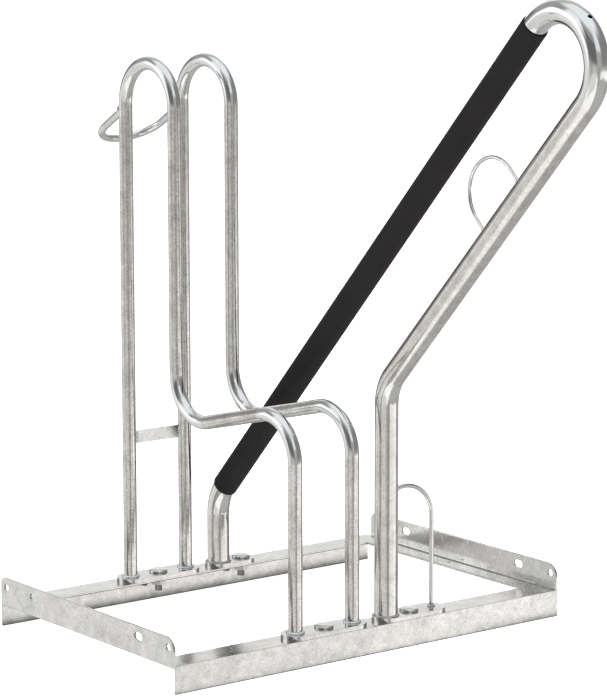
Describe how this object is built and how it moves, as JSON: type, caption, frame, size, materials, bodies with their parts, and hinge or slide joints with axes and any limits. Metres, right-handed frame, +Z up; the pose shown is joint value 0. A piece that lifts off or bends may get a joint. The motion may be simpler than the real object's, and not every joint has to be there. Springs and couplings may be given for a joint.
{
  "type": "bicycle parking rack",
  "caption": "Free-standing bicycle rack: angle-iron base frame, bent tube hoops that hold a front wheel, and a tall slanted lean bar with a black sleeve and rod loops for a lock.",
  "frame": {"origin": "on the ground, under the middle of the rack's full length and width", "axes": "+X along the two long rails, with the lean bar on the +X side of the wheel hoops; -Y towards the end that the lean bar reaches out over; +Z up"},
  "size_m": [0.607, 0.8381, 0.8245],
  "materials": {
    "galvanised_steel": "hot-dip galvanised, satin with a mottled spangle",
    "zinc_plated_steel": "zinc-plated, satin",
    "black_sleeve": "matte black, smooth"
  },
  "bodies": {
    "root": {"front_rail": "galvanised_steel", "back_rail": "galvanised_steel", "left_cross_rail": "galvanised_steel", "right_cross_rail": "galvanised_steel", "wheel_hoop_left": "galvanised_steel", "wheel_hoop_right": "galvanised_steel", "hoop_tie_strip": "galvanised_steel", "hoop_lock_bow": "galvanised_steel", "lean_bar": "galvanised_steel", "lean_bar_sleeve": "black_sleeve", "lean_bar_lock_loop": "galvanised_steel", "base_lock_loop": "galvanised_steel", "front_hoop_foot_plate": "galvanised_steel", "back_hoop_foot_plate": "galvanised_steel", "front_lean_bar_foot_plate": "galvanised_steel", "back_lean_bar_foot_plate": "galvanised_steel", "carriage_bolts": "zinc_plated_steel", "hex_nuts": "zinc_plated_steel", "foot_weld_beads": "galvanised_steel", "tie_strip_weld_beads": "galvanised_steel", "lock_loop_weld_beads": "galvanised_steel", "frame_corner_weld_beads": "galvanised_steel"}
  },
  "joints": []
}
